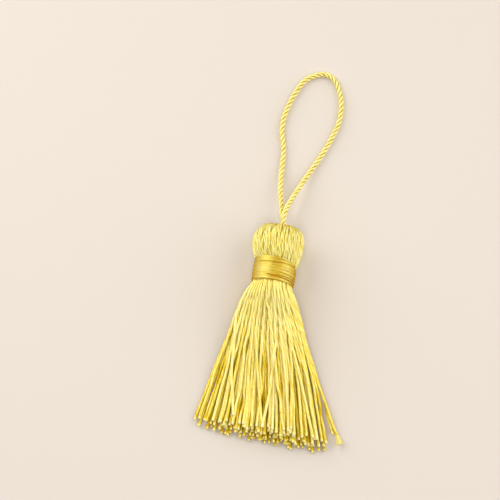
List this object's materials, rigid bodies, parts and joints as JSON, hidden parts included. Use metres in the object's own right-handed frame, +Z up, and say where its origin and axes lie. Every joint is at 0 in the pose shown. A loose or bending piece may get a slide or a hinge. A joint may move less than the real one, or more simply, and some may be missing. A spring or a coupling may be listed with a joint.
{
  "type": "silk tassel",
  "caption": "Tassel of silk yarns with a domed head, a wound binding and a cut skirt that fans out, hung by a loop of twisted cord; a trim for keys, drawers, books or cushions.",
  "frame": {"origin": "on the surface that the tassel lies on, under the middle of the box of its head, binding and skirt, the hanging loop left out", "axes": "+Y along the tassel from the skirt's tips to the crown and the loop, +Z up from the surface, +X across"},
  "size_m": [0.0526, 0.1381, 0.0177],
  "materials": {
    "yarn_silk": "satin, pale gold plied silk yarn",
    "binding_silk": "glossy, gold floss wound flat",
    "cord_silk": "satin, pale gold twisted cord"
  },
  "bodies": {
    "root": {"yarns": "yarn_silk", "binding": "binding_silk", "hanging_loop": "cord_silk"}
  },
  "joints": []
}
